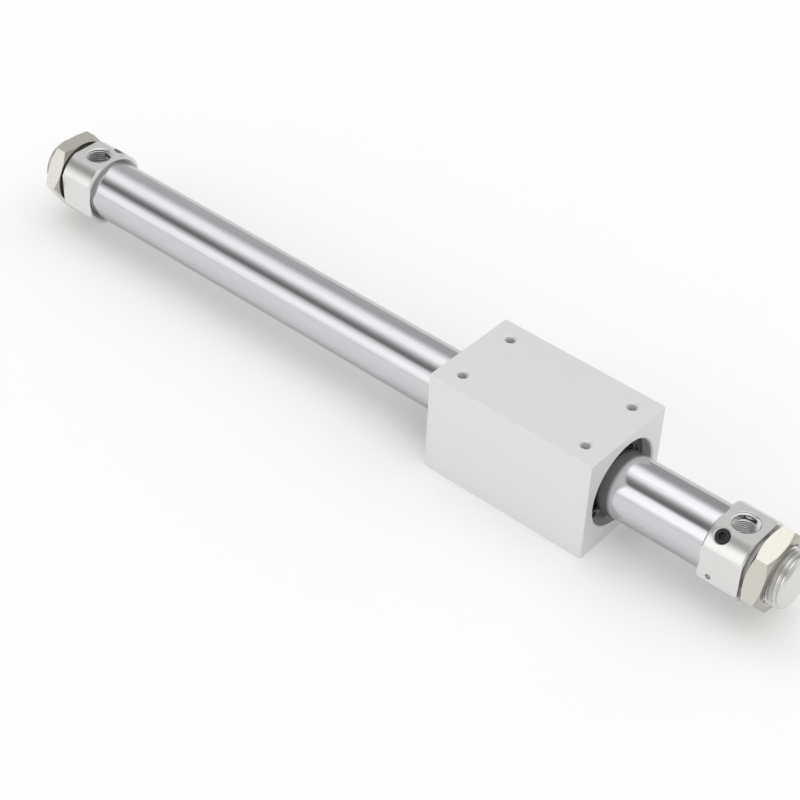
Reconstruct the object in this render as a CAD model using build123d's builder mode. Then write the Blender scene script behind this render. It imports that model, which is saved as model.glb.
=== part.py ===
from build123d import *
import os
from math import cos, radians, sin, sqrt, tan

# Rodless pneumatic cylinder of the basic, magnetically coupled kind. Air pushes a magnetic
# piston along inside a plain steel tube, and the magnets drag a block along outside it.
# Frame: origin on the tube's axis at half its length, X along the tube, Z up out of the
# block's tapped face. Left is -X and right is +X. Every length is in millimetres.

# Stroke and the block's place at rest
stroke = 200.0
end_gap = 5.0
rest_from_right_stop = 32.7

# Slider block
block_length = 66.0
block_width = 40.0
block_height = 40.0
block_edge = 0.4
block_bore_radius = 16.0
block_bore_mouth = 0.5
screw_pitch_x = 50.0
screw_pitch_y = 25.0
screw_hole_radius = 1.65
screw_hole_depth = 7.0
screw_hole_mouth = 0.6

# Tube
bore_radius = 10.0
tube_wall = 1.4
tube_end_play = 0.2

# Head cover, turned from bar with four flats milled on it
cover_length = 15.0
cover_round_wall = 2.55
cover_flat_wall = 0.8
cover_edge = 0.6
seat_depth = 9.0
seat_mouth = 1.2
core_reach = 6.4
core_edge = 0.6
boss_radius = 10.0
boss_length = 13.0
boss_edge = 1.2
relief_depth = 0.9
relief_length = 1.3
relief_slope = 0.5
air_passage_radius = 3.5

# Port for a tapered pipe thread, one in each cover's top flat
port_radius = 4.283
port_mouth = 0.65
port_depth = 9.65
port_passage_overrun = 0.6
port_tube_clearance = 0.7

# Set screw that locks each cover to the tube, and the pin hole beside it
set_screw_radius = 2.5
set_screw_length = 3.0
set_screw_sunk = 0.7
set_screw_mouth = 0.6
set_screw_angle = 128.6
set_screw_from_face = 4.5
set_screw_tube_hole = 0.2
set_screw_edge = 0.3
set_screw_key = 2.5
set_screw_key_depth = 1.6
pin_hole_radius = 1.0
pin_hole_from_face = 4.2
pin_hole_drop = 4.6

# Seal and bumper on the cover's core
gasket_section = 1.7
gasket_from_core_end = 2.2
gasket_groove_width = 2.4
bumper_inner_radius = 4.8
bumper_outer_radius = 8.6
bumper_thickness = 2.5
bumper_proud = 1.3
bumper_gap = 0.3

# Mounting nut on the boss
nut_across_flats = 26.0
nut_thickness = 6.5
nut_from_cover = 1.5
nut_chamfer_angle = 30.0
nut_thread_mouth = 0.7
right_nut_turn = 12.3
left_nut_turn = -2.0

# Magnet stacks, the same pitch in the block and on the piston. The magnets fill what the
# bearing and wiper parts leave of the block's length.
magnet_count = 4
yoke_thickness = 2.4
tube_air_gap = 0.4
bore_air_gap = 0.35
yoke_lip = 0.1

# Bearing, wiper and retaining parts in each end of the block
wear_ring_wall = 1.5
wear_ring_width = 4.5
wear_ring_split = 1.2
collar_lip = 1.0
lube_thickness = 2.3
scraper_thickness = 4.0
scraper_case_wall = 2.4
scraper_lip = 0.9
keeper_thickness = 1.5
keeper_wall = 2.8
circlip_recess = 4.0
circlip_thickness = 1.2
circlip_groove_depth = 0.85
circlip_back_width = 3.3
circlip_end_width = 2.3
circlip_ear_reach = 4.2
circlip_ear_radius = 1.9
circlip_ear_hole = 0.9
circlip_gap_angle = 40.0
circlip_turn = 250.0

# Piston
shaft_radius = 4.0
shaft_end_radius = 3.0
shaft_end_edge = 0.4
piston_edge = 0.5
piston_nut_flats = 10.0
piston_nut_thickness = 3.2
piston_nut_pocket = 0.6
piston_ring_from_yoke = 2.0
piston_ring_width = 4.0
piston_ring_wall = 1.3
piston_seal_from_end = 2.2
piston_seal_width = 3.2
piston_seal_depth = 2.8
piston_seal_lip = 0.75

# Drill's point, as the slope of its cone
drill_slope = 31.0

# Clearances
running = 0.05
fitted = 0.05
thread_running = 0.06

tube_radius = bore_radius + tube_wall
block_half = block_length / 2
cover_face = stroke / 2 + block_half + end_gap
cover_outer = cover_face + cover_length
boss_end = cover_outer + boss_length
slider_rest = stroke / 2 - rest_from_right_stop
keeper_end = block_half - circlip_recess - circlip_thickness
scraper_end = keeper_end - keeper_thickness
lube_end = scraper_end - scraper_thickness
collar_end = lube_end - lube_thickness
collar_floor = collar_end - collar_lip
stack_half = collar_floor - wear_ring_width - 2 * running
magnet_thickness = (2 * stack_half - (magnet_count + 1) * yoke_thickness) / magnet_count
core_end = cover_face - core_reach
piston_end = core_end - bumper_proud - bumper_gap - stroke / 2
seat_radius = tube_radius + fitted
seat_bottom = cover_face + seat_depth
cover_radius = seat_radius + cover_round_wall
cover_half_flats = seat_radius + cover_flat_wall
port_at = cover_face + cover_length / 2
set_screw_at = cover_face + set_screw_from_face
set_screw_outer = cover_radius - set_screw_sunk
set_screw_inner = set_screw_outer - set_screw_length

os.makedirs("parts", exist_ok=True)


def profile_plane(side, x=0.0):
    """Half section of a turned piece: across is outward along X from x, up is the radius."""
    return Plane(origin=(x, 0, 0), x_dir=(side, 0, 0), z_dir=(0, -side, 0))


def end_plane(side, x, outward=0.0):
    """A plane across the axis, facing outward on its side of x."""
    return Plane(origin=(x + side * outward, 0, 0), x_dir=(0, side, 0), z_dir=(side, 0, 0))


def radial_plane(side, x, angle, radius):
    """A plane facing away from the axis at one angle, for holes drilled from outside."""
    away = Vector(0, side * cos(radians(angle)), sin(radians(angle)))
    return Plane(origin=Vector(side * x, 0, 0) + away * radius, x_dir=(side, 0, 0), z_dir=away)


def outline(plane, points):
    """The closed half section of a piece that is turned about the tube's axis."""
    with BuildSketch(plane) as section:
        with BuildLine():
            Polyline(*points, close=True)
        make_face()
    return section.sketch


def rectangle_points(start, end, inner, outer):
    return [(start, inner), (end, inner), (end, outer), (start, outer)]


def tapping_hole(radius, mouth, depth):
    """A drilled hole for a thread: its mouth is countersunk and the drill's point ends it."""
    CounterSinkHole(radius, radius + mouth, depth, 90)
    with Locations((0, 0, -depth)):
        Cone(0, radius, radius * tan(radians(drill_slope)),
             align=(Align.CENTER, Align.CENTER, Align.MAX), mode=Mode.SUBTRACT)


# Cylinder tube: drawn stainless tube. Each end is notched for the port's fitting and
# drilled for the set screw that locks the cover.
with BuildPart() as tube:
    tube_half = seat_bottom - tube_end_play
    with BuildSketch(Plane.YZ.offset(-tube_half)):
        Circle(tube_radius)
        Circle(bore_radius, mode=Mode.SUBTRACT)
    extrude(amount=2 * tube_half)
    for side in (-1, 1):
        with BuildSketch(radial_plane(side, port_at, 90, 0)):
            Circle(port_radius + port_tube_clearance)
        extrude(amount=2 * tube_radius, mode=Mode.SUBTRACT)
        with BuildSketch(radial_plane(side, set_screw_at, set_screw_angle, 0)):
            Circle(set_screw_radius + set_screw_tube_hole)
        extrude(amount=2 * tube_radius, mode=Mode.SUBTRACT)

tube.part.label = "cylinder_tube"
export_step(tube.part, "parts/cylinder_tube.step")

for side, side_name in ((-1, "left"), (1, "right")):

    # Head cover: outer skin and inner core with the tube's seat between them, and the
    # threaded mounting boss outside. The left cover is the right one turned round.
    with BuildPart() as cover:
        core_radius = bore_radius - fitted
        gasket_start = core_end + gasket_from_core_end
        gasket_floor = bore_radius - gasket_section
        recess_end = core_end + bumper_thickness - bumper_proud
        relief_radius = boss_radius - relief_depth
        section = outline(
            profile_plane(side),
            [
                (core_end, air_passage_radius),
                (core_end, bumper_inner_radius - fitted),
                (recess_end, bumper_inner_radius - fitted),
                (recess_end, bumper_outer_radius + fitted),
                (core_end, bumper_outer_radius + fitted),
                (core_end, core_radius - core_edge),
                (core_end + core_edge, core_radius),
                (gasket_start, core_radius),
                (gasket_start, gasket_floor),
                (gasket_start + gasket_groove_width, gasket_floor),
                (gasket_start + gasket_groove_width, core_radius),
                (seat_bottom, core_radius),
                (seat_bottom, seat_radius),
                (cover_face + seat_mouth, seat_radius),
                (cover_face, seat_radius + seat_mouth),
                (cover_face, cover_radius - cover_edge),
                (cover_face + cover_edge, cover_radius),
                (cover_outer - cover_edge, cover_radius),
                (cover_outer, cover_radius - cover_edge),
                (cover_outer, relief_radius),
                (cover_outer + relief_length, relief_radius),
                (cover_outer + relief_length + relief_slope, boss_radius),
                (boss_end - boss_edge, boss_radius),
                (boss_end, boss_radius - boss_edge),
                (boss_end, 0),
                (port_at + port_radius - port_passage_overrun, 0),
                (port_at + port_radius - port_passage_overrun, air_passage_radius),
            ],
        )
        revolve(section, axis=Axis.X)
        with BuildSketch(end_plane(side, side * core_end)):
            Rectangle(2 * cover_half_flats, 2 * cover_half_flats)
        extrude(amount=boss_end - core_end, mode=Mode.INTERSECT)
        with Locations(radial_plane(side, port_at, 90, cover_half_flats)):
            tapping_hole(port_radius, port_mouth, port_depth)
        with Locations(radial_plane(side, set_screw_at, set_screw_angle, cover_radius)):
            CounterSinkHole(
                set_screw_radius + fitted,
                set_screw_radius + fitted + set_screw_mouth,
                cover_radius - set_screw_inner + fitted,
                90,
            )
        pin_hole_plane = Plane(
            origin=(side * (cover_face + pin_hole_from_face), -side * cover_half_flats, -pin_hole_drop),
            x_dir=(side, 0, 0),
            z_dir=(0, -side, 0),
        )
        with Locations(pin_hole_plane):
            Hole(pin_hole_radius, cover_half_flats - sqrt(tube_radius**2 - pin_hole_drop**2))

    cover.part.label = f"{side_name}_head_cover"
    export_step(cover.part, f"parts/{side_name}_head_cover.step")

    # Set screw: short socket screw through the cover's skin into the tube's hole.
    with BuildPart() as set_screw:
        with BuildSketch(radial_plane(side, set_screw_at, set_screw_angle, set_screw_inner)):
            Circle(set_screw_radius)
        extrude(amount=set_screw_length)
        chamfer(set_screw.edges(), set_screw_edge)
        with BuildSketch(radial_plane(side, set_screw_at, set_screw_angle, set_screw_outer)):
            RegularPolygon(set_screw_key / 2, 6, major_radius=False)
        extrude(amount=-set_screw_key_depth, mode=Mode.SUBTRACT)

    set_screw.part.label = f"{side_name}_set_screw"
    export_step(set_screw.part, f"parts/{side_name}_set_screw.step")

    # Tube gasket: ring of round rubber cord in the core's groove, against the tube's bore.
    with BuildPart() as gasket:
        with BuildSketch(profile_plane(side)):
            with Locations((gasket_start + gasket_groove_width / 2, bore_radius - gasket_section / 2)):
                Circle(gasket_section / 2)
        revolve(axis=Axis.X)

    gasket.part.label = f"{side_name}_tube_gasket"
    export_step(gasket.part, f"parts/{side_name}_tube_gasket.step")

    # Bumper: rubber ring let into the core's end, where the piston stops.
    with BuildPart() as bumper:
        bumper_face = core_end - bumper_proud
        section = outline(
            profile_plane(side),
            rectangle_points(bumper_face, recess_end, bumper_inner_radius, bumper_outer_radius),
        )
        revolve(section, axis=Axis.X)

    bumper.part.label = f"{side_name}_bumper"
    export_step(bumper.part, f"parts/{side_name}_bumper.step")

    # Mounting nut: thin hexagon nut, chamfered on both faces, that clamps a bracket.
    with BuildPart() as nut:
        nut_turn = right_nut_turn if side > 0 else left_nut_turn
        nut_inner = cover_outer + nut_from_cover
        nut_outer = nut_inner + nut_thickness
        nut_flat = nut_across_flats / 2
        nut_corner = nut_flat / cos(radians(30))
        corner_drop = (nut_corner - nut_flat) * tan(radians(nut_chamfer_angle))
        nut_bore = boss_radius + thread_running
        with BuildSketch(end_plane(side, side * nut_inner)):
            RegularPolygon(nut_corner, 6, rotation=nut_turn)
        extrude(amount=nut_thickness)
        with BuildSketch(profile_plane(side)):
            with BuildLine():
                Polyline(
                    (nut_inner, nut_bore + nut_thread_mouth),
                    (nut_inner, nut_flat),
                    (nut_inner + corner_drop, nut_corner),
                    (nut_outer - corner_drop, nut_corner),
                    (nut_outer, nut_flat),
                    (nut_outer, nut_bore + nut_thread_mouth),
                    (nut_outer - nut_thread_mouth, nut_bore),
                    (nut_inner + nut_thread_mouth, nut_bore),
                    close=True,
                )
            make_face()
        revolve(axis=Axis.X, mode=Mode.INTERSECT)

    nut.part.label = f"{side_name}_mounting_nut"
    export_step(nut.part, f"parts/{side_name}_mounting_nut.step")

    # Slider wear ring: split resin band on the tube, which the block turns round on.
    with BuildPart() as wear_ring:
        band_radius = tube_radius + running
        band_outer = band_radius + wear_ring_wall
        section = outline(
            profile_plane(side, slider_rest),
            rectangle_points(stack_half + running, stack_half + running + wear_ring_width,
                             band_radius, band_outer),
        )
        revolve(section, axis=Axis.X)
        with BuildSketch(end_plane(side, slider_rest, stack_half)):
            with Locations((0, band_outer)):
                Rectangle(wear_ring_split, 3 * wear_ring_wall)
        extrude(amount=2 * wear_ring_width, mode=Mode.SUBTRACT)

    wear_ring.part.label = f"{side_name}_slider_wear_ring"
    export_step(wear_ring.part, f"parts/{side_name}_slider_wear_ring.step")

    # Bearing collar: aluminium ring that holds the wear ring against the last yoke.
    with BuildPart() as collar:
        stack_radius = block_bore_radius - fitted
        section = outline(
            profile_plane(side, slider_rest),
            [
                (stack_half, band_outer + running),
                (collar_floor, band_outer + running),
                (collar_floor, tube_radius + tube_air_gap),
                (collar_end, tube_radius + tube_air_gap),
                (collar_end, stack_radius),
                (stack_half, stack_radius),
            ],
        )
        revolve(section, axis=Axis.X)

    collar.part.label = f"{side_name}_bearing_collar"
    export_step(collar.part, f"parts/{side_name}_bearing_collar.step")

    # Lube retainer: oil-soaked felt ring that wipes the tube.
    with BuildPart() as lube_ring:
        section = outline(
            profile_plane(side, slider_rest),
            rectangle_points(collar_end, lube_end, tube_radius + running, stack_radius),
        )
        revolve(section, axis=Axis.X)

    lube_ring.part.label = f"{side_name}_lube_retainer"
    export_step(lube_ring.part, f"parts/{side_name}_lube_retainer.step")

    # Scraper: rubber wiper with a stout case and a thin lip that leans outward.
    with BuildPart() as scraper:
        case_radius = stack_radius - scraper_case_wall
        section = outline(
            profile_plane(side, slider_rest),
            [
                (lube_end, case_radius - scraper_lip),
                (lube_end + scraper_lip, case_radius - scraper_lip),
                (scraper_end - 2 * scraper_lip, tube_radius + running),
                (scraper_end - scraper_lip, tube_radius + running),
                (scraper_end - 2 * scraper_lip, case_radius),
                (scraper_end, case_radius + scraper_lip),
                (scraper_end, stack_radius),
                (lube_end, stack_radius),
            ],
        )
        revolve(section, axis=Axis.X)

    scraper.part.label = f"{side_name}_scraper"
    export_step(scraper.part, f"parts/{side_name}_scraper.step")

    # Keeper ring: flat steel washer that spreads the circlip's load over the scraper.
    with BuildPart() as keeper:
        section = outline(
            profile_plane(side, slider_rest),
            rectangle_points(scraper_end, keeper_end, stack_radius - keeper_wall, stack_radius),
        )
        revolve(section, axis=Axis.X)

    keeper.part.label = f"{side_name}_keeper_ring"
    export_step(keeper.part, f"parts/{side_name}_keeper_ring.step")

    # Circlip: sprung steel ring in the block's groove, widest opposite its two drilled ears.
    with BuildPart() as circlip:
        groove_radius = block_bore_radius + circlip_groove_depth
        clip_radius = groove_radius - fitted
        hollow_radius = clip_radius - (circlip_back_width + circlip_end_width) / 2
        hollow_offset = (circlip_back_width - circlip_end_width) / 2
        ear_centre = block_bore_radius - circlip_ear_reach + circlip_ear_radius
        ear_angle = circlip_gap_angle / 2
        with BuildSketch(end_plane(side, slider_rest, keeper_end)):
            Circle(clip_radius)
            with PolarLocations(hollow_offset, 1, start_angle=circlip_turn):
                Circle(hollow_radius, mode=Mode.SUBTRACT)
            with PolarLocations(0, 1, start_angle=circlip_turn):
                gap_reach = 2 * clip_radius
                gap_rise = gap_reach * tan(radians(ear_angle))
                Polygon((0, 0), (gap_reach, -gap_rise), (gap_reach, gap_rise),
                        align=None, mode=Mode.SUBTRACT)
            with PolarLocations(ear_centre, 2, start_angle=circlip_turn - ear_angle,
                                angular_range=circlip_gap_angle, endpoint=True):
                Circle(circlip_ear_radius)
            with PolarLocations(ear_centre, 2, start_angle=circlip_turn - ear_angle,
                                angular_range=circlip_gap_angle, endpoint=True):
                Circle(circlip_ear_hole, mode=Mode.SUBTRACT)
        extrude(amount=circlip_thickness)

    circlip.part.label = f"{side_name}_circlip"
    export_step(circlip.part, f"parts/{side_name}_circlip.step")

    # Piston half: aluminium disc grooved for its guide ring and cup seal, with a pocket
    # for the nut that clamps it to the magnets.
    with BuildPart() as piston:
        piston_radius = bore_radius - bore_air_gap
        piston_bore = shaft_end_radius + fitted
        ring_start = stack_half + piston_ring_from_yoke
        ring_end = ring_start + piston_ring_width
        ring_floor = bore_radius - running - piston_ring_wall - fitted
        seal_end = piston_end - piston_seal_from_end
        seal_start = seal_end - piston_seal_width
        seal_floor = bore_radius - piston_seal_depth
        pocket_radius = piston_nut_flats / 2 / cos(radians(30)) + piston_nut_pocket
        pocket_floor = piston_end - piston_nut_thickness - piston_nut_pocket
        section = outline(
            profile_plane(side, slider_rest),
            [
                (stack_half, piston_bore),
                (pocket_floor, piston_bore),
                (pocket_floor, pocket_radius),
                (piston_end, pocket_radius),
                (piston_end, piston_radius - piston_edge),
                (piston_end - piston_edge, piston_radius),
                (seal_end, piston_radius),
                (seal_end, seal_floor),
                (seal_start, seal_floor),
                (seal_start, piston_radius),
                (ring_end, piston_radius),
                (ring_end, ring_floor),
                (ring_start, ring_floor),
                (ring_start, piston_radius),
                (stack_half, piston_radius),
            ],
        )
        revolve(section, axis=Axis.X)

    piston.part.label = f"{side_name}_piston"
    export_step(piston.part, f"parts/{side_name}_piston.step")

    # Piston guide ring: split resin band that keeps the piston off the tube.
    with BuildPart() as guide_ring:
        guide_outer = bore_radius - running
        section = outline(
            profile_plane(side, slider_rest),
            rectangle_points(ring_start + fitted, ring_end - fitted,
                             guide_outer - piston_ring_wall, guide_outer),
        )
        revolve(section, axis=Axis.X)
        with BuildSketch(end_plane(side, slider_rest, ring_start)):
            with Locations((0, guide_outer)):
                Rectangle(wear_ring_split, 3 * piston_ring_wall)
        extrude(amount=piston_ring_width, mode=Mode.SUBTRACT)

    guide_ring.part.label = f"{side_name}_piston_guide_ring"
    export_step(guide_ring.part, f"parts/{side_name}_piston_guide_ring.step")

    # Piston seal: rubber cup whose two lips open towards the air that pushes it.
    with BuildPart() as seal:
        seal_outer = bore_radius - running
        seal_inner = seal_floor + fitted
        seal_root = seal_start + piston_seal_width / 2
        seal_tip = seal_end - fitted
        seal_middle = (seal_inner + seal_outer) / 2
        section = outline(
            profile_plane(side, slider_rest),
            [
                (seal_start + fitted, seal_inner),
                (seal_tip, seal_inner),
                (seal_tip, seal_inner + piston_seal_lip),
                (seal_root, seal_middle),
                (seal_tip, seal_outer - piston_seal_lip),
                (seal_tip, seal_outer),
                (seal_start + fitted, seal_outer - fitted),
            ],
        )
        revolve(section, axis=Axis.X)

    seal.part.label = f"{side_name}_piston_seal"
    export_step(seal.part, f"parts/{side_name}_piston_seal.step")

    # Piston nut: thin hexagon nut on the shaft's threaded end, sunk in the piston's pocket.
    with BuildPart() as piston_nut:
        with BuildSketch(end_plane(side, slider_rest, pocket_floor)):
            RegularPolygon(piston_nut_flats / 2, 6, major_radius=False)
            Circle(shaft_end_radius + fitted, mode=Mode.SUBTRACT)
        extrude(amount=piston_nut_thickness)

    piston_nut.part.label = f"{side_name}_piston_nut"
    export_step(piston_nut.part, f"parts/{side_name}_piston_nut.step")

# Slider body: aluminium block, bored through, with four tapped holes in its top face and a
# groove inside each end for the circlip.
with BuildPart() as block:
    groove_start = keeper_end
    groove_end = groove_start + circlip_thickness + fitted
    with Locations((slider_rest, 0, 0)):
        Box(block_length, block_width, block_height)
    chamfer(block.edges(), block_edge)
    half_bore = [
        (groove_start, block_bore_radius),
        (groove_start, groove_radius),
        (groove_end, groove_radius),
        (groove_end, block_bore_radius),
        (block_half - block_bore_mouth, block_bore_radius),
        (block_half, block_bore_radius + block_bore_mouth),
    ]
    with BuildSketch(profile_plane(1, slider_rest)):
        with BuildLine():
            Polyline(
                (-block_half, 0),
                *[(-x, radius) for x, radius in reversed(half_bore)],
                *half_bore,
                (block_half, 0),
                close=True,
            )
        make_face()
    revolve(axis=Axis.X, mode=Mode.SUBTRACT)
    with Locations(Plane(origin=(slider_rest, 0, block_height / 2))):
        with GridLocations(screw_pitch_x, screw_pitch_y, 2, 2):
            tapping_hole(screw_hole_radius, screw_hole_mouth, screw_hole_depth)

block.part.label = "slider_body"
export_step(block.part, "parts/slider_body.step")

# Magnetic coupling: ring magnets between soft iron yokes, once in the block round the tube
# and once on the piston's shaft, so that each plate inside faces its partner outside.
stack_pitch = magnet_thickness + yoke_thickness
yoke_places = [(i - magnet_count / 2) * stack_pitch for i in range(magnet_count + 1)]
magnet_places = [(i - (magnet_count - 1) / 2) * stack_pitch for i in range(magnet_count)]

with BuildPart() as slider_yokes:
    for place in yoke_places:
        section = outline(
            profile_plane(1, slider_rest),
            rectangle_points(place - yoke_thickness / 2, place + yoke_thickness / 2,
                             tube_radius + tube_air_gap, stack_radius),
        )
        revolve(section, axis=Axis.X)

slider_yokes.part.label = "slider_yokes"
export_step(slider_yokes.part, "parts/slider_yokes.step")

with BuildPart() as slider_magnets:
    for place in magnet_places:
        section = outline(
            profile_plane(1, slider_rest),
            rectangle_points(place - magnet_thickness / 2, place + magnet_thickness / 2,
                             tube_radius + tube_air_gap + yoke_lip, stack_radius),
        )
        revolve(section, axis=Axis.X)

slider_magnets.part.label = "slider_magnets"
export_step(slider_magnets.part, "parts/slider_magnets.step")

with BuildPart() as piston_yokes:
    for place in yoke_places:
        section = outline(
            profile_plane(1, slider_rest),
            rectangle_points(place - yoke_thickness / 2, place + yoke_thickness / 2,
                             shaft_radius + fitted, bore_radius - bore_air_gap),
        )
        revolve(section, axis=Axis.X)

piston_yokes.part.label = "piston_yokes"
export_step(piston_yokes.part, "parts/piston_yokes.step")

with BuildPart() as piston_magnets:
    for place in magnet_places:
        section = outline(
            profile_plane(1, slider_rest),
            rectangle_points(place - magnet_thickness / 2, place + magnet_thickness / 2,
                             shaft_radius + fitted, bore_radius - bore_air_gap - yoke_lip),
        )
        revolve(section, axis=Axis.X)

piston_magnets.part.label = "piston_magnets"
export_step(piston_magnets.part, "parts/piston_magnets.step")

# Piston shaft: steel pin through the magnets, stepped down to a threaded end at each side.
with BuildPart() as shaft:
    shaft_end = pocket_floor + piston_nut_thickness
    half_shaft = [
        (stack_half, shaft_radius),
        (stack_half, shaft_end_radius),
        (shaft_end - shaft_end_edge, shaft_end_radius),
        (shaft_end, shaft_end_radius - shaft_end_edge),
    ]
    section = outline(
        profile_plane(1, slider_rest),
        [
            (-shaft_end, 0),
            *[(-x, radius) for x, radius in reversed(half_shaft)],
            *half_shaft,
            (shaft_end, 0),
        ],
    )
    revolve(section, axis=Axis.X)

shaft.part.label = "piston_shaft"
export_step(shaft.part, "parts/piston_shaft.step")
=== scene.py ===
from math import cos, pi, radians, sin, tan

import bpy
from mathutils import Matrix, Vector


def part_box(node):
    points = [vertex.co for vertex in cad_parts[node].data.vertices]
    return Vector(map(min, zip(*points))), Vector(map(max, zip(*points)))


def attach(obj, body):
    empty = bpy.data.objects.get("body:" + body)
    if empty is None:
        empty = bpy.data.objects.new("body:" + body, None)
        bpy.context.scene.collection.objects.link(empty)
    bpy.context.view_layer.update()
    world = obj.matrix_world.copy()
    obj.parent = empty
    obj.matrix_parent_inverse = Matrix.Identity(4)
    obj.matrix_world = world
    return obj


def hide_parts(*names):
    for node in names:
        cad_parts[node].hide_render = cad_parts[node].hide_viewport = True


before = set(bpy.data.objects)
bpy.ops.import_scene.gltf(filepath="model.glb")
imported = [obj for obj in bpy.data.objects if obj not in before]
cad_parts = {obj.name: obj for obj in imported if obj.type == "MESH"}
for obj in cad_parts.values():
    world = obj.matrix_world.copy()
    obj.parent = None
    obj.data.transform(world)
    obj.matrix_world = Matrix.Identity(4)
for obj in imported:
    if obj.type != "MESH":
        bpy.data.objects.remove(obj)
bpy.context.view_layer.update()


# Cylinder tube. Drawn stainless tube, ground and polished almost to a mirror because the block's
# wipers run on it, with the faint lines of the grinding along it. Each end is notched for the
# port's fitting and drilled for the cover's set screw.
mm = 0.001
weld_distance = 0.002
sliver_width = 0.001
grain_depth = 0.02
drill_length = 30.0
bore_radius = 10.0
tube_radius = 11.4
tube_edge = 0.3
tube_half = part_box("cylinder_tube")[1].x / mm
cover_face = 138.0
cover_length = 15.0
port_at = cover_face + cover_length / 2
port_radius = 4.283
port_tube_clearance = 0.7
set_screw_at = cover_face + 4.5
set_screw_angle = radians(128.6)
set_screw_radius = 2.5
set_screw_tube_clearance = 0.2


def only(piece):
    """Select one piece alone and make it the active one."""
    bpy.ops.object.select_all(action="DESELECT")
    piece.select_set(True)
    bpy.context.view_layer.objects.active = piece


def close_mesh():
    """In edit mode, weld what touches, cap what is open and turn the faces outward."""
    bpy.ops.mesh.select_all(action="SELECT")
    bpy.ops.mesh.remove_doubles(threshold=weld_distance * mm)
    bpy.ops.mesh.fill_holes(sides=0)
    bpy.ops.mesh.normals_make_consistent(inside=False)


def turned(name, stations, segments=128):
    """Turn a piece about X: a circle's edge is extruded from one (x, radius) to the next."""
    x, radius = stations[0]
    bpy.ops.object.select_all(action="DESELECT")
    bpy.ops.mesh.primitive_circle_add(
        vertices=segments, radius=radius * mm, location=(x * mm, 0, 0), rotation=(0, pi / 2, 0)
    )
    piece = bpy.context.object
    piece.name = name
    bpy.ops.object.transform_apply(location=True, rotation=True, scale=True)
    bpy.ops.object.mode_set(mode="EDIT")
    for next_x, next_radius in stations[1:]:
        bpy.ops.mesh.extrude_edges_move(TRANSFORM_OT_translate={"value": ((next_x - x) * mm, 0, 0)})
        growth = next_radius / radius
        bpy.ops.transform.resize(value=(1, growth, growth), center_override=(next_x * mm, 0, 0))
        x, radius = next_x, next_radius
    close_mesh()
    bpy.ops.object.mode_set(mode="OBJECT")
    return piece


def stand(tool, x, y, z, angle):
    """Stand a tool that was made along X on a point, leaning at one angle from +Y towards +Z."""
    only(tool)
    tool.matrix_world = (
        Matrix.Translation((x * mm, y * mm, z * mm))
        @ Matrix.Rotation(angle, 4, "X")
        @ Matrix.Rotation(pi / 2, 4, "Z")
    )
    bpy.ops.object.transform_apply(location=True, rotation=True, scale=True)
    return tool


def cut(piece, tool, operation="DIFFERENCE"):
    """Cut the piece with a tool, or keep only what lies inside it, and clear the tool away."""
    only(piece)
    bpy.ops.object.modifier_add(type="BOOLEAN")
    step = piece.modifiers[-1]
    step.object = tool
    step.operation = operation
    step.solver = "EXACT"
    step.material_mode = "TRANSFER"
    bpy.ops.object.modifier_apply(modifier=step.name)
    bpy.data.objects.remove(tool)


def turn_end_for_end(piece):
    """Swap the piece's ends: half a turn about Z, kept in its mesh."""
    only(piece)
    piece.matrix_world = Matrix.Rotation(pi, 4, "Z") @ piece.matrix_world
    bpy.ops.object.transform_apply(location=True, rotation=True, scale=True)


def smooth(piece, sharp_from):
    """Clear slivers away and shade smooth over every edge less sharp than an angle in degrees."""
    only(piece)
    bpy.ops.object.mode_set(mode="EDIT")
    bpy.ops.mesh.select_all(action="SELECT")
    bpy.ops.mesh.dissolve_degenerate(threshold=sliver_width * mm)
    bpy.ops.object.mode_set(mode="OBJECT")
    bpy.ops.object.shade_smooth_by_angle(angle=radians(sharp_from))
    bpy.ops.object.modifier_add(type="WEIGHTED_NORMAL")
    step = piece.modifiers[-1]
    step.keep_sharp = True
    bpy.ops.object.modifier_apply(modifier=step.name)


def new_finish(name, metallic):
    """A material whose shader is ready for its grain, and the place that the grain is read at."""
    finish = bpy.data.materials.new(name)
    finish.use_nodes = True
    tree = finish.node_tree
    tree.nodes["Principled BSDF"].inputs["Metallic"].default_value = metallic
    place = tree.nodes.new("ShaderNodeTexCoord")
    return finish, place.outputs["Object"]


def stretched(finish, place, stretch):
    """The same place stretched, for grain that runs along the piece."""
    mapping = finish.node_tree.nodes.new("ShaderNodeMapping")
    mapping.inputs["Scale"].default_value = stretch
    finish.node_tree.links.new(place, mapping.inputs["Vector"])
    return mapping.outputs["Vector"]


def add_grain(finish, place, fineness, dark, light, gloss, relief):
    """Fine noise that gives the metal its tones, its uneven gloss and a slight relief."""
    tree = finish.node_tree
    shader = tree.nodes["Principled BSDF"]
    noise = tree.nodes.new("ShaderNodeTexNoise")
    noise.inputs["Scale"].default_value = fineness
    noise.inputs["Detail"].default_value = 3
    tree.links.new(place, noise.inputs["Vector"])
    tones = tree.nodes.new("ShaderNodeValToRGB")
    tones.color_ramp.elements[0].position = 0.3
    tones.color_ramp.elements[0].color = (*dark, 1)
    tones.color_ramp.elements[1].position = 0.7
    tones.color_ramp.elements[1].color = (*light, 1)
    tree.links.new(noise.outputs["Fac"], tones.inputs["Fac"])
    tree.links.new(tones.outputs["Color"], shader.inputs["Base Color"])
    roughness = tree.nodes.new("ShaderNodeMapRange")
    roughness.inputs["To Min"].default_value = gloss[0]
    roughness.inputs["To Max"].default_value = gloss[1]
    tree.links.new(noise.outputs["Fac"], roughness.inputs["Value"])
    tree.links.new(roughness.outputs["Result"], shader.inputs["Roughness"])
    bump = tree.nodes.new("ShaderNodeBump")
    bump.inputs["Strength"].default_value = relief
    bump.inputs["Distance"].default_value = grain_depth * mm
    tree.links.new(noise.outputs["Fac"], bump.inputs["Height"])
    tree.links.new(bump.outputs["Normal"], shader.inputs["Normal"])


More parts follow.
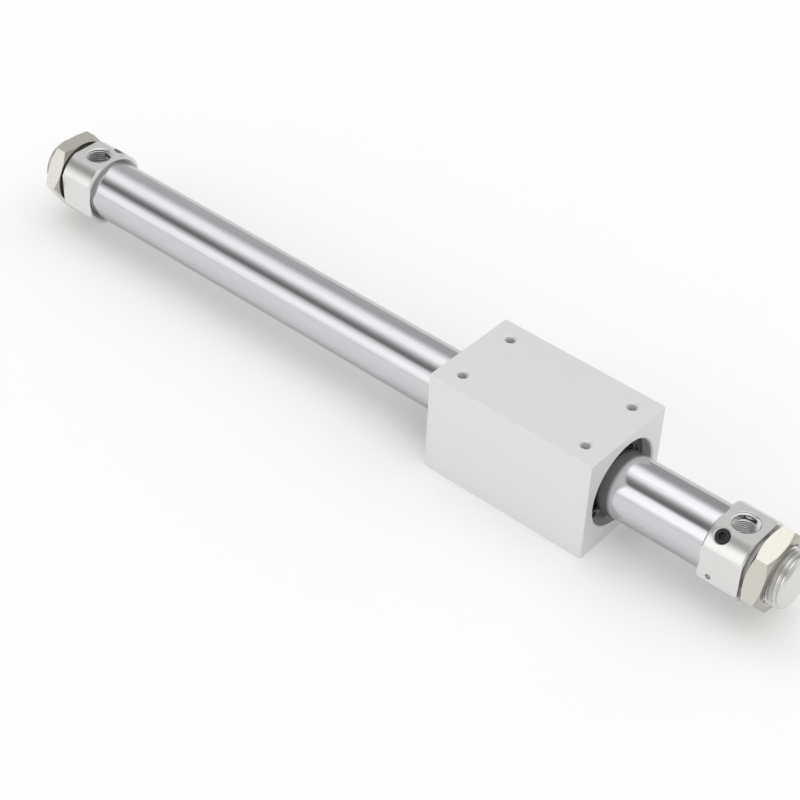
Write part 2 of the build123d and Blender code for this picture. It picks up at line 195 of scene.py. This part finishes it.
def dress(piece, body, node):
    """Hang a finished piece in the frame in place of its CAD node."""
    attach(piece, body)
    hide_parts(node)


polished_steel, place = new_finish("polished_steel", 1.0)
add_grain(
    polished_steel,
    stretched(polished_steel, place, (0.03, 1, 1)),
    fineness=3000,
    dark=(0.59, 0.59, 0.61),
    light=(0.65, 0.65, 0.67),
    gloss=(0.08, 0.16),
    relief=0.04,
)
glancing_tint = (0.80, 0.80, 0.80, 1)
steel_shader = polished_steel.node_tree.nodes["Principled BSDF"]
steel_shader.inputs["Specular Tint"].default_value = glancing_tint

tube = turned(
    "polished_tube",
    [
        (-tube_half, bore_radius),
        (-tube_half, tube_radius - tube_edge),
        (-tube_half + tube_edge, tube_radius),
        (tube_half - tube_edge, tube_radius),
        (tube_half, tube_radius - tube_edge),
        (tube_half, bore_radius),
        (-tube_half, bore_radius),
    ],
    segments=192,
)
tube.data.materials.append(polished_steel)
notch_radius = port_radius + port_tube_clearance
tube_screw_hole = set_screw_radius + set_screw_tube_clearance
for end in range(2):
    notch = turned("notch", [(0, notch_radius), (drill_length, notch_radius)])
    cut(tube, stand(notch, port_at, 0, 0, pi / 2))
    screw_hole = turned("screw_hole", [(0, tube_screw_hole), (drill_length, tube_screw_hole)])
    cut(tube, stand(screw_hole, set_screw_at, 0, 0, set_screw_angle))
    turn_end_for_end(tube)
smooth(tube, sharp_from=20)
dress(tube, "cylinder", "cylinder_tube")


# Head covers. Each is turned from aluminium bar, with four flats milled along it, a port tapped
# in the top flat, a counterbored locking screw on the slant and a pin hole low in the side flat.
# The threaded boss carries a bracket and its nut. The left cover is the right one turned round.
overshoot = 1.0
core_end = 131.6
core_radius = 9.95
core_edge = 0.6
bumper_recess_end = core_end + 1.2
bumper_recess_inner = 4.75
bumper_recess_outer = 8.65
gasket_start = core_end + 2.2
gasket_end = gasket_start + 2.4
gasket_floor = 8.3
air_passage_radius = 3.5
air_passage_end = port_at + 3.683
seat_radius = 11.45
seat_bottom = cover_face + 9.0
seat_mouth = 1.2
cover_radius = 14.0
cover_half_flats = 12.25
cover_edge = 0.6
flats_length = 100.0
cover_outer = cover_face + cover_length
boss_radius = 10.0
boss_root = 9.1
boss_edge = 1.2
boss_end = cover_outer + 13.0
boss_pitch = 1.5
relief_end = cover_outer + 1.3
relief_slope = 0.5
port_mouth = 0.65
port_floor = 2.6
port_crest = 4.86
port_pitch = 0.907
port_thread_start = port_floor + 1.5
boss_thread_start = relief_end - 0.35
thread_flank = radians(30)
thread_overlap = 0.05
boss_thread_above_root = 0.02
drill_slope = radians(31)
set_screw_fit = 0.05
set_screw_bore_radius = 3.0
set_screw_bore_depth = 1.2
set_screw_floor = 10.25
pin_hole_radius = 1.0
pin_hole_at = cover_face + 4.2
pin_hole_drop = 4.6


def thread_cutter(start, turns, pitch, open_radius, root_radius, steps=48):
    """A thread's groove as a cutter along X: a Screw modifier sweeps its section."""
    depth = abs(open_radius - root_radius)
    root_width = pitch / 4
    open_width = root_width + 2 * depth * tan(thread_flank)
    middle = (open_radius + root_radius) / 2
    bpy.ops.object.select_all(action="DESELECT")
    bpy.ops.mesh.primitive_plane_add(
        size=1, location=(start * mm, 0, middle * mm), rotation=(pi / 2, 0, 0)
    )
    cutter = bpy.context.object
    cutter.name = "thread_cutter"
    cutter.scale = (open_width * mm, depth * mm, 1)
    bpy.ops.object.transform_apply(location=True, rotation=True, scale=True)
    bpy.ops.object.mode_set(mode="EDIT")
    bpy.ops.mesh.select_all(action="DESELECT")
    bpy.ops.object.mode_set(mode="OBJECT")
    for vertex in cutter.data.vertices:
        vertex.select = abs(vertex.co.z - root_radius * mm) < depth / 4 * mm
    bpy.ops.object.mode_set(mode="EDIT")
    narrowing = root_width / open_width
    bpy.ops.transform.resize(
        value=(narrowing, 1, 1), center_override=(start * mm, 0, root_radius * mm)
    )
    bpy.ops.object.mode_set(mode="OBJECT")
    bpy.ops.object.modifier_add(type="SCREW")
    sweep = cutter.modifiers[-1]
    sweep.axis = "X"
    sweep.angle = 2 * pi
    sweep.screw_offset = pitch * mm
    sweep.iterations = turns
    sweep.steps = steps
    sweep.render_steps = steps
    bpy.ops.object.modifier_apply(modifier=sweep.name)
    bpy.ops.object.mode_set(mode="EDIT")
    close_mesh()
    bpy.ops.object.mode_set(mode="OBJECT")
    return cutter


def joined(tools):
    """Join tools that don't touch each other, so that one cut makes all their marks."""
    only(tools[0])
    for tool in tools[1:]:
        tool.select_set(True)
    bpy.ops.object.join()
    return tools[0]


def lathe_place(finish, place):
    """The place as distance along the axis and out from it, for marks that a lathe leaves."""
    tree = finish.node_tree
    split = tree.nodes.new("ShaderNodeSeparateXYZ")
    across = tree.nodes.new("ShaderNodeVectorMath")
    across.operation = "MULTIPLY"
    across.inputs[1].default_value = (0, 1, 1)
    radius = tree.nodes.new("ShaderNodeVectorMath")
    radius.operation = "LENGTH"
    join = tree.nodes.new("ShaderNodeCombineXYZ")
    tree.links.new(place, split.inputs["Vector"])
    tree.links.new(place, across.inputs[0])
    tree.links.new(across.outputs["Vector"], radius.inputs[0])
    tree.links.new(split.outputs["X"], join.inputs["X"])
    tree.links.new(radius.outputs["Value"], join.inputs["Y"])
    return join.outputs["Vector"]


# The turned faces get a darker copy of the aluminium than the milled flats: partly their turned
# finish, partly painted shade for the boss end and the gap by the nut.
shaded_turned_aluminium, place = new_finish("shaded_turned_aluminium", 1.0)
add_grain(
    shaded_turned_aluminium,
    lathe_place(shaded_turned_aluminium, place),
    fineness=4000,
    dark=(0.67, 0.665, 0.65),
    light=(0.74, 0.735, 0.72),
    gloss=(0.24, 0.34),
    relief=0.12,
)
milled_aluminium, place = new_finish("milled_aluminium", 1.0)
add_grain(
    milled_aluminium,
    stretched(milled_aluminium, place, (0.05, 1, 1)),
    fineness=2500,
    dark=(0.75, 0.75, 0.74),
    light=(0.80, 0.80, 0.79),
    gloss=(0.26, 0.36),
    relief=0.08,
)

cover = turned(
    "right_cover",
    [
        (air_passage_end, air_passage_radius),
        (core_end, air_passage_radius),
        (core_end, bumper_recess_inner),
        (bumper_recess_end, bumper_recess_inner),
        (bumper_recess_end, bumper_recess_outer),
        (core_end, bumper_recess_outer),
        (core_end, core_radius - core_edge),
        (core_end + core_edge, core_radius),
        (gasket_start, core_radius),
        (gasket_start, gasket_floor),
        (gasket_end, gasket_floor),
        (gasket_end, core_radius),
        (seat_bottom, core_radius),
        (seat_bottom, seat_radius),
        (cover_face + seat_mouth, seat_radius),
        (cover_face, seat_radius + seat_mouth),
        (cover_face, cover_radius - cover_edge),
        (cover_face + cover_edge, cover_radius),
        (cover_outer - cover_edge, cover_radius),
        (cover_outer, cover_radius - cover_edge),
        (cover_outer, boss_root),
        (relief_end, boss_root),
        (relief_end + relief_slope, boss_radius),
        (boss_end - boss_edge, boss_radius),
        (boss_end, boss_radius - boss_edge),
    ],
)
cover.data.materials.append(shaded_turned_aluminium)

bpy.ops.object.select_all(action="DESELECT")
bpy.ops.mesh.primitive_cube_add(
    size=1,
    location=(cover_outer * mm, 0, 0),
    scale=(flats_length * mm, 2 * cover_half_flats * mm, 2 * cover_half_flats * mm),
)
flats = bpy.context.object
flats.data.materials.append(milled_aluminium)
cut(cover, flats, operation="INTERSECT")

port = turned(
    "port",
    [
        (cover_half_flats + overshoot, port_radius + port_mouth + overshoot),
        (cover_half_flats - port_mouth, port_radius),
        (port_floor, port_radius),
        (port_floor - port_radius * tan(drill_slope), 0),
    ],
)
cut(cover, stand(port, port_at, 0, 0, pi / 2))
screw_seat = turned(
    "screw_seat",
    [
        (cover_radius + overshoot, set_screw_bore_radius),
        (cover_radius - set_screw_bore_depth, set_screw_bore_radius),
        (cover_radius - set_screw_bore_depth, set_screw_radius + set_screw_fit),
        (set_screw_floor, set_screw_radius + set_screw_fit),
    ],
)
cut(cover, stand(screw_seat, set_screw_at, 0, 0, set_screw_angle))

pin_hole_floor = (tube_radius**2 - pin_hole_drop**2) ** 0.5
pin_hole = turned(
    "pin_hole",
    [(cover_half_flats + overshoot, pin_hole_radius), (pin_hole_floor, pin_hole_radius)],
    segments=32,
)
cut(cover, stand(pin_hole, pin_hole_at, 0, -pin_hole_drop, pi))

port_thread = thread_cutter(
    port_thread_start,
    turns=10,
    pitch=port_pitch,
    open_radius=port_radius - thread_overlap,
    root_radius=port_crest,
)
stand(port_thread, port_at, 0, 0, pi / 2)
boss_thread = thread_cutter(
    boss_thread_start,
    turns=9,
    pitch=boss_pitch,
    open_radius=boss_radius + thread_overlap,
    root_radius=boss_root + boss_thread_above_root,
    steps=96,
)
cut(cover, joined([port_thread, boss_thread]))
smooth(cover, sharp_from=20)

only(cover)
bpy.ops.object.duplicate()
left_cover = bpy.context.object
left_cover.name = "left_cover"
turn_end_for_end(left_cover)
dress(cover, "cylinder", "right_head_cover")
dress(left_cover, "cylinder", "left_head_cover")


# Mounting nuts. Thin hexagon nuts cut from drawn steel bar and plated with nickel, that clamp a
# bracket on each threaded boss. Their turned faces and chamfers get a darker copy of the nickel,
# which is painted shade. Here they stand loose, a little way off the cover.
nut_across_flats = 26.0
nut_from_cover = 1.5
nut_thickness = 6.5
nut_running = 0.06
nut_mouth = 0.7
nut_chamfer_slope = radians(30)
nut_turns = {"right": radians(12.3), "left": radians(-2.0)}
nut_corner = nut_across_flats / 2 / cos(pi / 6)
nut_inner = cover_outer + nut_from_cover
nut_outer = nut_inner + nut_thickness
nut_bore = boss_radius + nut_running
nut_chamfer = (nut_corner - nut_across_flats / 2) * tan(nut_chamfer_slope)

nickel_plate, place = new_finish("nickel_plate", 1.0)
add_grain(
    nickel_plate,
    lathe_place(nickel_plate, place),
    fineness=1500,
    dark=(0.61, 0.585, 0.53),
    light=(0.67, 0.645, 0.59),
    gloss=(0.16, 0.24),
    relief=0.05,
)
# A darker copy of the nickel for the nuts' turned faces and chamfers: painted shade.
shaded_turned_nickel, place = new_finish("shaded_turned_nickel", 1.0)
add_grain(
    shaded_turned_nickel,
    lathe_place(shaded_turned_nickel, place),
    fineness=1500,
    dark=(0.43, 0.41, 0.36),
    light=(0.52, 0.50, 0.45),
    gloss=(0.22, 0.32),
    relief=0.08,
)

for side_name, turn in nut_turns.items():
    bpy.ops.object.select_all(action="DESELECT")
    bpy.ops.mesh.primitive_cylinder_add(
        vertices=6,
        radius=nut_corner * mm,
        depth=(nut_outer - nut_inner + 2 * overshoot) * mm,
        location=((nut_inner + nut_outer) / 2 * mm, 0, 0),
        rotation=(0, pi / 2, 0),
    )
    nut = bpy.context.object
    nut.name = f"{side_name}_nut"
    nut.data.materials.append(nickel_plate)
    nut.matrix_world = Matrix.Rotation(turn, 4, "X") @ nut.matrix_world
    bpy.ops.object.transform_apply(location=True, rotation=True, scale=True)
    chamfered = turned(
        "chamfered",
        [
            (nut_inner, nut_across_flats / 2),
            (nut_inner + nut_chamfer, nut_corner),
            (nut_outer - nut_chamfer, nut_corner),
            (nut_outer, nut_across_flats / 2),
        ],
        segments=192,
    )
    # The chamfers and faces take the darker nickel, which is painted shade.
    chamfered.data.materials.append(shaded_turned_nickel)
    cut(nut, chamfered, operation="INTERSECT")
    thread_hole = turned(
        "thread_hole",
        [
            (nut_inner - overshoot, nut_bore + nut_mouth + overshoot),
            (nut_inner + nut_mouth, nut_bore),
            (nut_outer - nut_mouth, nut_bore),
            (nut_outer + overshoot, nut_bore + nut_mouth + overshoot),
        ],
    )
    cut(nut, thread_hole)
    smooth(nut, sharp_from=15)
    if side_name == "left":
        turn_end_for_end(nut)
    dress(nut, f"{side_name}_nut", f"{side_name}_mounting_nut")


# Set screws. Short socket screws of black oxidised steel, driven in with a hexagon key to lock
# each cover to the tube.
black_oxide, place = new_finish("black_oxide", 0.6)
add_grain(
    black_oxide,
    place,
    fineness=3000,
    dark=(0.030, 0.030, 0.032),
    light=(0.060, 0.060, 0.062),
    gloss=(0.30, 0.45),
    relief=0.10,
)


def finish_nodes(finish, *names):
    """Give CAD nodes that are shown as they are their finish."""
    for name in names:
        for material_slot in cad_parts[name].material_slots:
            material_slot.material = finish


finish_nodes(black_oxide, "left_set_screw", "right_set_screw")


# Slider body. A square aluminium block, sawn from bar, milled, blasted and satin anodised, bored
# right through for the magnets and the wipers. Four tapped holes in its top face carry the load.
block_length = 66.0
block_width = 40.0
block_height = 40.0
block_edge = 0.4
block_at = 67.3
block_bore = 16.0
block_mouth = 0.5
clip_groove_start = 27.8
clip_groove_end = 29.05
clip_groove_radius = 16.85
screw_pitch_x = 50.0
screw_pitch_y = 25.0
screw_hole_radius = 1.65
screw_hole_mouth = 0.6
screw_hole_depth = 7.0
screw_crest = 2.0
screw_pitch = 0.7
screw_thread_above_floor = 0.8
screw_thread_overlap = 0.03

satin_anodised, place = new_finish("satin_anodised", 0.5)
add_grain(
    satin_anodised,
    place,
    fineness=4500,
    dark=(0.745, 0.745, 0.74),
    light=(0.79, 0.79, 0.785),
    gloss=(0.46, 0.56),
    relief=0.15,
)

bpy.ops.object.select_all(action="DESELECT")
bpy.ops.mesh.primitive_cube_add(
    size=1,
    location=(block_at * mm, 0, 0),
    scale=(block_length * mm, block_width * mm, block_height * mm),
)
block = bpy.context.object
block.name = "slider_block"
block.data.materials.append(satin_anodised)
bpy.ops.object.transform_apply(location=True, rotation=True, scale=True)
bpy.ops.object.mode_set(mode="EDIT")
bpy.ops.mesh.select_all(action="SELECT")
bpy.ops.mesh.bevel(offset=block_edge * mm, segments=3, affect="EDGES")
bpy.ops.object.mode_set(mode="OBJECT")

half_length = block_length / 2
half_bore = [
    (clip_groove_start, block_bore),
    (clip_groove_start, clip_groove_radius),
    (clip_groove_end, clip_groove_radius),
    (clip_groove_end, block_bore),
    (half_length - block_mouth, block_bore),
    (half_length + overshoot, block_bore + block_mouth + overshoot),
]
bore = turned(
    "bore",
    [(block_at - x, radius) for x, radius in reversed(half_bore)]
    + [(block_at + x, radius) for x, radius in half_bore],
    segments=192,
)
cut(block, bore)

threads = []
for along in (-1, 1):
    for across in (-1, 1):
        hole_x = block_at + along * screw_pitch_x / 2
        hole_y = across * screw_pitch_y / 2
        face = block_height / 2
        floor = face - screw_hole_depth
        hole = turned(
            "hole",
            [
                (face + overshoot, screw_hole_radius + screw_hole_mouth + overshoot),
                (face - screw_hole_mouth, screw_hole_radius),
                (floor, screw_hole_radius),
                (floor - screw_hole_radius * tan(drill_slope), 0),
            ],
            segments=48,
        )
        cut(block, stand(hole, hole_x, hole_y, 0, pi / 2))
        thread = thread_cutter(
            floor + screw_thread_above_floor,
            turns=9,
            pitch=screw_pitch,
            open_radius=screw_hole_radius - screw_thread_overlap,
            root_radius=screw_crest,
            steps=24,
        )
        threads.append(stand(thread, hole_x, hole_y, 0, pi / 2))
cut(block, joined(threads))
smooth(block, sharp_from=25)
dress(block, "slider", "slider_body")


# Wiper set in each end of the block. A rubber scraper with a stout case cleans the tube, an
# oil-soaked felt ring behind it keeps it slick, and a steel ring and a sprung circlip hold both.
scraper_rubber, place = new_finish("scraper_rubber", 0.0)
add_grain(
    scraper_rubber,
    place,
    fineness=1200,
    dark=(0.018, 0.018, 0.018),
    light=(0.034, 0.034, 0.034),
    gloss=(0.50, 0.66),
    relief=0.25,
)
finish_nodes(scraper_rubber, "left_scraper", "right_scraper")

oiled_felt, place = new_finish("oiled_felt", 0.0)
add_grain(
    oiled_felt,
    place,
    fineness=1800,
    dark=(0.40, 0.33, 0.20),
    light=(0.62, 0.55, 0.38),
    gloss=(0.80, 0.95),
    relief=0.9,
)
finish_nodes(oiled_felt, "left_lube_retainer", "right_lube_retainer")

zinc_plate, place = new_finish("zinc_plate", 1.0)
add_grain(
    zinc_plate,
    place,
    fineness=1500,
    dark=(0.52, 0.52, 0.54),
    light=(0.66, 0.66, 0.67),
    gloss=(0.30, 0.42),
    relief=0.12,
)
finish_nodes(zinc_plate, "left_keeper_ring", "right_keeper_ring")

spring_steel, place = new_finish("spring_steel", 1.0)
add_grain(
    spring_steel,
    place,
    fineness=1800,
    dark=(0.10, 0.10, 0.10),
    light=(0.17, 0.17, 0.17),
    gloss=(0.34, 0.48),
    relief=0.12,
)
finish_nodes(spring_steel, "left_circlip", "right_circlip")


# Bearings of the block. Split bands of filled resin run on the tube, each held against the
# magnets by an aluminium collar.
bearing_resin, place = new_finish("bearing_resin", 0.0)
add_grain(
    bearing_resin,
    place,
    fineness=900,
    dark=(0.40, 0.27, 0.14),
    light=(0.52, 0.38, 0.22),
    gloss=(0.42, 0.55),
    relief=0.15,
)
finish_nodes(bearing_resin, "left_slider_wear_ring", "right_slider_wear_ring")
finish_nodes(shaded_turned_aluminium, "left_bearing_collar", "right_bearing_collar")


# Magnetic coupling. Nickel plated ring magnets between soft iron yokes, one stack pressed in the
# block round the tube and one clamped on the piston's shaft inside it.
magnet_plate, place = new_finish("magnet_plate", 1.0)
add_grain(
    magnet_plate,
    place,
    fineness=1200,
    dark=(0.62, 0.60, 0.56),
    light=(0.74, 0.72, 0.68),
    gloss=(0.18, 0.28),
    relief=0.08,
)
soft_iron, place = new_finish("soft_iron", 1.0)
add_grain(
    soft_iron,
    lathe_place(soft_iron, place),
    fineness=2500,
    dark=(0.34, 0.34, 0.35),
    light=(0.46, 0.46, 0.47),
    gloss=(0.32, 0.45),
    relief=0.15,
)
finish_nodes(magnet_plate, "slider_magnets", "piston_magnets")
finish_nodes(soft_iron, "slider_yokes", "piston_yokes")


# Piston. Two turned aluminium halves clamp the magnets on a steel shaft with a nut at each end.
# Each half carries a split resin guide ring and a rubber cup seal.
cup_rubber, place = new_finish("cup_rubber", 0.0)
add_grain(
    cup_rubber,
    place,
    fineness=1500,
    dark=(0.015, 0.015, 0.016),
    light=(0.028, 0.028, 0.030),
    gloss=(0.38, 0.50),
    relief=0.15,
)
finish_nodes(shaded_turned_aluminium, "left_piston", "right_piston")
finish_nodes(bearing_resin, "left_piston_guide_ring", "right_piston_guide_ring")
finish_nodes(cup_rubber, "left_piston_seal", "right_piston_seal")
finish_nodes(zinc_plate, "piston_shaft", "left_piston_nut", "right_piston_nut")


# Gaskets and bumpers. A rubber cord ring seals each cover's core against the tube's bore, and a
# rubber ring let into the core's end takes the piston's blow.
finish_nodes(cup_rubber, "left_tube_gasket", "right_tube_gasket")
finish_nodes(scraper_rubber, "left_bumper", "right_bumper")


# Studio. A white paper floor that runs out to a pale horizon. Two broad soft boxes hang along the
# tube with a dark gap between them, and the room is plainer to the right and dimmer at both ends.
floor_size = 120.0
bpy.ops.object.select_all(action="DESELECT")
bpy.ops.mesh.primitive_plane_add(size=floor_size, location=(0, 0, -block_height / 2 * mm))
floor = bpy.context.object
floor.name = "floor"
bpy.ops.object.transform_apply(location=True, rotation=True, scale=True)
paper = bpy.data.materials.new("floor_paper")
paper.use_nodes = True
shader = paper.node_tree.nodes["Principled BSDF"]
shader.inputs["Base Color"].default_value = (1.0, 1.0, 1.0, 1)
shader.inputs["Roughness"].default_value = 1.0
shader.inputs["Specular IOR Level"].default_value = 0.0
floor.data.materials.append(paper)

room = bpy.data.worlds.new("studio")
bpy.context.scene.world = room
room.use_nodes = True
tree = room.node_tree
way = tree.nodes.new("ShaderNodeTexCoord")
split = tree.nodes.new("ShaderNodeSeparateXYZ")
angle = tree.nodes.new("ShaderNodeMath")
angle.operation = "ARCTAN2"
whole_turn = tree.nodes.new("ShaderNodeMapRange")
whole_turn.inputs["From Min"].default_value = -pi
whole_turn.inputs["From Max"].default_value = pi
tree.links.new(way.outputs["Generated"], split.inputs["Vector"])
tree.links.new(split.outputs["Z"], angle.inputs[0])
tree.links.new(split.outputs["Y"], angle.inputs[1])
tree.links.new(angle.outputs["Value"], whole_turn.inputs["Value"])


def lamp_bands(bands):
    """Light level against the angle round the tube in degrees: 0 at +Y, 90 straight up."""
    ramp = tree.nodes.new("ShaderNodeValToRGB")
    elements = ramp.color_ramp.elements
    while len(elements) < len(bands):
        elements.new(0.5)
    for element, (degrees, level) in zip(elements, bands):
        element.position = (degrees + 180) / 360
        element.color = (level, level, level, 1)
    tree.links.new(whole_turn.outputs["Result"], ramp.inputs["Fac"])
    return ramp.outputs["Color"]


near_left = lamp_bands(
    [
        (-180, 0.90),
        (-90, 0.45),
        (-14, 0.45),
        (32, 0.44),
        (46, 0.50),
        (56, 0.92),
        (66, 1.42),
        (76, 1.54),
        (88, 1.50),
        (97, 1.15),
        (105, 0.62),
        (114, 0.30),
        (124, 0.18),
        (130, 0.28),
        (138, 1.40),
        (144, 1.56),
        (162, 1.56),
        (170, 1.05),
        (180, 0.90),
    ]
)
far_left = lamp_bands(
    [
        (-180, 1.25),
        (-160, 0.95),
        (-90, 0.65),
        (-14, 0.68),
        (28, 0.66),
        (46, 0.58),
        (60, 0.76),
        (74, 1.16),
        (86, 1.34),
        (97, 1.28),
        (106, 0.95),
        (116, 0.46),
        (126, 0.20),
        (134, 0.22),
        (142, 0.60),
        (151, 1.20),
        (159, 1.32),
        (176, 1.34),
        (180, 1.25),
    ]
)
right_room = lamp_bands(
    [
        (-180, 0.90),
        (-90, 0.50),
        (0, 0.80),
        (40, 0.95),
        (80, 1.22),
        (120, 1.22),
        (150, 1.00),
        (180, 0.90),
    ]
)


def fade(value, start, end):
    """A soft step from 0 to 1 as a value goes from start to end."""
    step = tree.nodes.new("ShaderNodeMapRange")
    step.interpolation_type = "SMOOTHSTEP"
    step.inputs["From Min"].default_value = start
    step.inputs["From Max"].default_value = end
    tree.links.new(value, step.inputs["Value"])
    return step.outputs["Result"]


def blend(share, first, second):
    """Mix a light with a second one, or with a plain level, by a share."""
    mix = tree.nodes.new("ShaderNodeMix")
    mix.data_type = "RGBA"
    tree.links.new(share, mix.inputs[0])
    tree.links.new(first, mix.inputs[6])
    if isinstance(second, tuple):
        mix.inputs[7].default_value = second
    else:
        tree.links.new(second, mix.inputs[7])
    return mix.outputs[2]


right_wall = (0.55, 0.55, 0.55, 1)
left_wall = (0.60, 0.60, 0.60, 1)
horizon = (0.92, 0.92, 0.92, 1)
along = split.outputs["X"]
left_room = blend(fade(along, -0.70, -0.28), far_left, near_left)
room_light = blend(fade(along, -0.25, 0.00), left_room, right_room)
room_light = blend(fade(along, 0.70, 0.95), room_light, right_wall)
room_light = blend(fade(along, -0.75, -0.97), room_light, left_wall)
height = tree.nodes.new("ShaderNodeMath")
height.operation = "ABSOLUTE"
tree.links.new(split.outputs["Z"], height.inputs[0])
room_light = blend(fade(height.outputs["Value"], 0.14, 0.02), room_light, horizon)
tree.links.new(room_light, tree.nodes["Background"].inputs["Color"])


# Camera, where the photograph's was: solved from the block's corners, its four holes and the
# tube's edges.
camera_azimuth = radians(39.15)
camera_elevation = radians(40.74)
camera_roll = radians(2.60)
camera_place = (0.3396, -0.4095, 0.4346)
camera_lens = 89.207
camera_sensor = 36
camera_sees = (0.01, 200)
back = Vector(
    (
        sin(camera_azimuth) * cos(camera_elevation),
        -cos(camera_azimuth) * cos(camera_elevation),
        sin(camera_elevation),
    )
)
level = Vector((cos(camera_azimuth), sin(camera_azimuth), 0))
upright = back.cross(level)
right = cos(camera_roll) * level + sin(camera_roll) * upright
up = back.cross(right)
bpy.ops.object.camera_add()
camera = bpy.context.object
camera.data.sensor_width = camera_sensor
camera.data.lens = camera_lens
camera.data.clip_start, camera.data.clip_end = camera_sees
facing = Matrix((right, up, back)).transposed().to_4x4()
camera.matrix_world = Matrix.Translation(camera_place) @ facing
bpy.context.scene.camera = camera
bpy.context.scene.view_settings.view_transform = "Standard"
